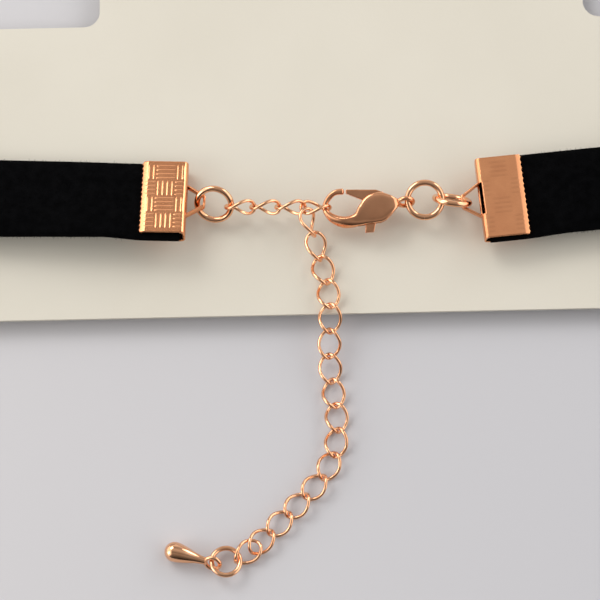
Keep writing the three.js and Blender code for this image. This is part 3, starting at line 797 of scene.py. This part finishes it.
# From the eye's neck round the hook to its tip: the middle's place along and across the clasp and
# the section's half width and half thickness, all as shares, how square the section is, and how
# much of its thickness it loses towards its outer side.
clasp_sections = [
    {"along": 1.0, "across": 0.0, "wide": 0.20, "thick": 0.66, "square": 0.6, "slope": 0},
    {"along": 0.955, "across": -0.03, "wide": 0.34, "thick": 0.92, "square": 0.7, "slope": 0},
    {"along": 0.885, "across": -0.07, "wide": 0.56, "thick": 1.0, "square": 0.75, "slope": 0},
    {"along": 0.79, "across": -0.14, "wide": 0.76, "thick": 1.0, "square": 0.78, "slope": 0},
    {"along": 0.68, "across": -0.27, "wide": 0.80, "thick": 1.0, "square": 0.78, "slope": 0},
    {"along": 0.565, "across": -0.52, "wide": 0.62, "thick": 0.98, "square": 0.72, "slope": 0},
    {"along": 0.44, "across": -0.79, "wide": 0.37, "thick": 0.92, "square": 0.5, "slope": 0.12},
    {"along": 0.27, "across": -0.84, "wide": 0.31, "thick": 0.84, "square": 0.25, "slope": 0.6},
    {"along": 0.115, "across": -0.54, "wide": 0.23, "thick": 0.5, "square": 0.0, "slope": 0.6},
    {"along": 0.035, "across": -0.02, "wide": 0.13, "thick": 0.32, "square": 0.0, "slope": 0.2},
    {"along": 0.09, "across": 0.46, "wide": 0.15, "thick": 0.38, "square": 0.2, "slope": 0},
    {"along": 0.185, "across": 0.76, "wide": 0.15, "thick": 0.5, "square": 0.4, "slope": 0},
    {"along": 0.303, "across": 0.79, "wide": 0.18, "thick": 0.5, "square": 0.4, "slope": 0},
]


def clasp_body_mesh(name):
    rows = [(part["along"] * clasp_length, part["across"] * clasp_width / 2, part["wide"], part["thick"],
             part["square"], part["slope"]) for part in clasp_sections]
    fine = smooth_path(rows, 9)
    across = sideways(fine[:, :2])
    rings = []
    sides = 40
    slope_start = 0.35
    end_rows, end_start = 3, 0.4
    for k, (x, y, wide, thick, square, slope) in enumerate(fine):
        from_end = min(k, len(fine) - 1 - k)
        end = math.sqrt(1 - (1 - min(1.0, (from_end + end_start) / end_rows)) ** 2)
        power = 1 - max(0.0, min(1.0, square))
        half_wide, half_thick = wide * end * clasp_width / 2, thick * end * clasp_thickness / 2
        ring = []
        for s in range(sides):
            turn = 2 * math.pi * (s + 0.5) / sides
            out = half_wide * math.copysign(abs(math.cos(turn)) ** power, math.cos(turn))
            up = half_thick * math.copysign(abs(math.sin(turn)) ** power, math.sin(turn))
            up *= 1 - slope * max(0.0, slope_start + math.cos(turn)) / (1 + slope_start)
            ring.append((x + across[k][0] * out, y + across[k][1] * out, up))
        rings.append(ring)
    return skinned(name, rings)


def torus_mesh(name, diameter, wire, turn, x):
    """A closed ring of wire in the XY plane, turned about X and moved along it."""
    steps, sides = 40, 16
    tilt = Matrix.Rotation(math.radians(turn), 3, "X")
    vertices, faces = [], []
    for k in range(steps):
        heading = 2 * math.pi * k / steps
        for s in range(sides):
            turned_by = 2 * math.pi * s / sides
            out = (diameter - wire) / 2 + wire / 2 * math.cos(turned_by)
            high = wire / 2 * math.sin(turned_by)
            point = tilt @ Vector((out * math.cos(heading), out * math.sin(heading), high))
            vertices.append((point.x + x, point.y, point.z))
            k1, s1 = (k + 1) % steps, (s + 1) % sides
            faces.append((k * sides + s, k1 * sides + s, k1 * sides + s1, k * sides + s1))
    mesh = bpy.data.meshes.new(name)
    mesh.from_pydata(vertices, [], faces)
    outward_normals(mesh)
    return mesh


def cast_form(mesh, name, voxel, rounds, cutter=None):
    """A casting: a closed form, its edges softened as a mould and a polish leave them. Voxel in mm."""
    to_millimetres = Matrix.Scale(1 / MM, 4)
    mesh.transform(to_millimetres)
    made = add_object(name, mesh)
    remesh = made.modifiers.new("remesh", "REMESH")
    remesh.mode = "VOXEL"
    remesh.voxel_size = voxel
    if cutter:
        cutter.data.transform(to_millimetres)
        cut = made.modifiers.new("cut", "BOOLEAN")
        cut.operation = "DIFFERENCE"
        cut.object = cutter
        again = made.modifiers.new("again", "REMESH")
        again.mode = "VOXEL"
        again.voxel_size = voxel
    smooth = made.modifiers.new("smooth", "SMOOTH")
    smooth.factor = 0.5
    smooth.iterations = rounds
    finished(made, cast_gold)
    if cutter:
        bpy.data.objects.remove(cutter)
    made.data.transform(Matrix.Scale(MM, 4))
    smooth_faces(made.data)
    return made


low, high = own_box("clasp_pin", clasp_basis)
clasp_origin = Vector((low + high) / 2) - Vector(
    (clasp_pivot[0] * clasp_length, clasp_pivot[1] * clasp_width / 2, 0)
)
clasp_place = clasp_basis.to_4x4() @ Matrix.Translation(clasp_origin)
eye_at = clasp_length + clasp_eye_diameter / 2 - clasp_eye_wire / 2
body = joined(
    "clasp_body", clasp_body_mesh("body"),
    torus_mesh("eye", clasp_eye_diameter, clasp_eye_wire, clasp_eye_turn, eye_at),
)
slot = add_object("slot", box_mesh(
    "slot", (clasp_slot["from"] * clasp_length, -clasp_width, -clasp_slot["height"] / 2),
    (clasp_slot["to"] * clasp_length, clasp_width, clasp_slot["height"] / 2),
))
clasp_body = cast_form(body, "clasp_body_cast", voxel=0.05, rounds=24, cutter=slot)
clasp_body.data.transform(clasp_place)
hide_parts("clasp_body")
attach(clasp_body, "choker")
lever = merged_copy("clasp_lever", "clasp_lever_cast")
clasp_lever = cast_form(lever, "clasp_lever_cast", voxel=0.05, rounds=14)
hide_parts("clasp_lever")
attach(clasp_lever, "clasp_lever")
rivet = merged_copy("clasp_pin", "clasp_pin_rivet")
rivet_share = 0.88
rivet_middle = clasp_basis @ Vector((low + high) / 2)
along_pin = Matrix.Diagonal((1, 1, rivet_share, 1))
shorter = clasp_basis.to_4x4() @ along_pin @ clasp_basis.transposed().to_4x4()
rivet.transform(Matrix.Translation(rivet_middle) @ shorter @ Matrix.Translation(-rivet_middle))
clasp_pin = cast_form(rivet, "clasp_pin_rivet", voxel=0.04, rounds=3)
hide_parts("clasp_pin")
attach(clasp_pin, "choker")


# The drop is a small solid teardrop, turned and polished, with a round wire eye that hangs on the
# end ring. It lies on the table on its side.
drop_length = 5.1 * MM
drop_diameter = 2.4 * MM
drop_neck = 0.9 * MM
drop_eye_diameter = 2.3 * MM
drop_eye_wire = 0.5 * MM
drop_basis = turned_frame(162, -55)


def drop_mesh(name):
    ball, neck = drop_diameter / 2, drop_neck / 2
    cone = drop_length - ball
    outline = [(0.0, neck * 0.9), (0.03 * MM, neck)]
    for k in range(1, 25):
        share = k / 24
        outline.append((cone * share, neck + (ball - neck) * share * share * (3 - 2 * share)))
    for k in range(1, 16):
        turn = math.pi / 2 * k / 16
        outline.append((cone + ball * math.sin(turn), ball * math.cos(turn)))
    start = drop_eye_diameter / 2 - drop_eye_wire / 2
    sides = 48
    vertices = [(start, 0, 0)]
    for x, radius in outline:
        for s in range(sides):
            turn = 2 * math.pi * s / sides
            vertices.append((start + x, radius * math.cos(turn), radius * math.sin(turn)))
    vertices.append((start + drop_length, 0, 0))
    faces = []
    for s in range(sides):
        n = (s + 1) % sides
        faces.append((0, 1 + n, 1 + s))
        for k in range(len(outline) - 1):
            a, b = 1 + k * sides, 1 + (k + 1) * sides
            faces.append((a + s, a + n, b + n, b + s))
        a = 1 + (len(outline) - 1) * sides
        faces.append((a + s, a + n, len(vertices) - 1))
    mesh = bpy.data.meshes.new(name)
    mesh.from_pydata(vertices, [], faces)
    outward_normals(mesh)
    return mesh


low, high = own_box("drop", drop_basis)
drop_origin = Vector((low[0] + drop_eye_diameter / 2, (low[1] + high[1]) / 2, (low[2] + high[2]) / 2))
mesh = drop_mesh("drop_turned")
mesh.transform(drop_basis.to_4x4() @ Matrix.Translation(drop_origin))
smooth_faces(mesh)
mesh.materials.append(wire_gold)
drop = add_object("drop_turned", mesh)
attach(drop, "choker")
wire_loops(
    "drop_eye_wire", [(drop_basis @ drop_origin, drop_basis)], Length=drop_eye_diameter,
    Width=drop_eye_diameter, Wire=drop_eye_wire, Twist=0.0, Seam=0.0, Steps=64, Sides=16, Material=wire_gold,
)
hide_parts("drop")
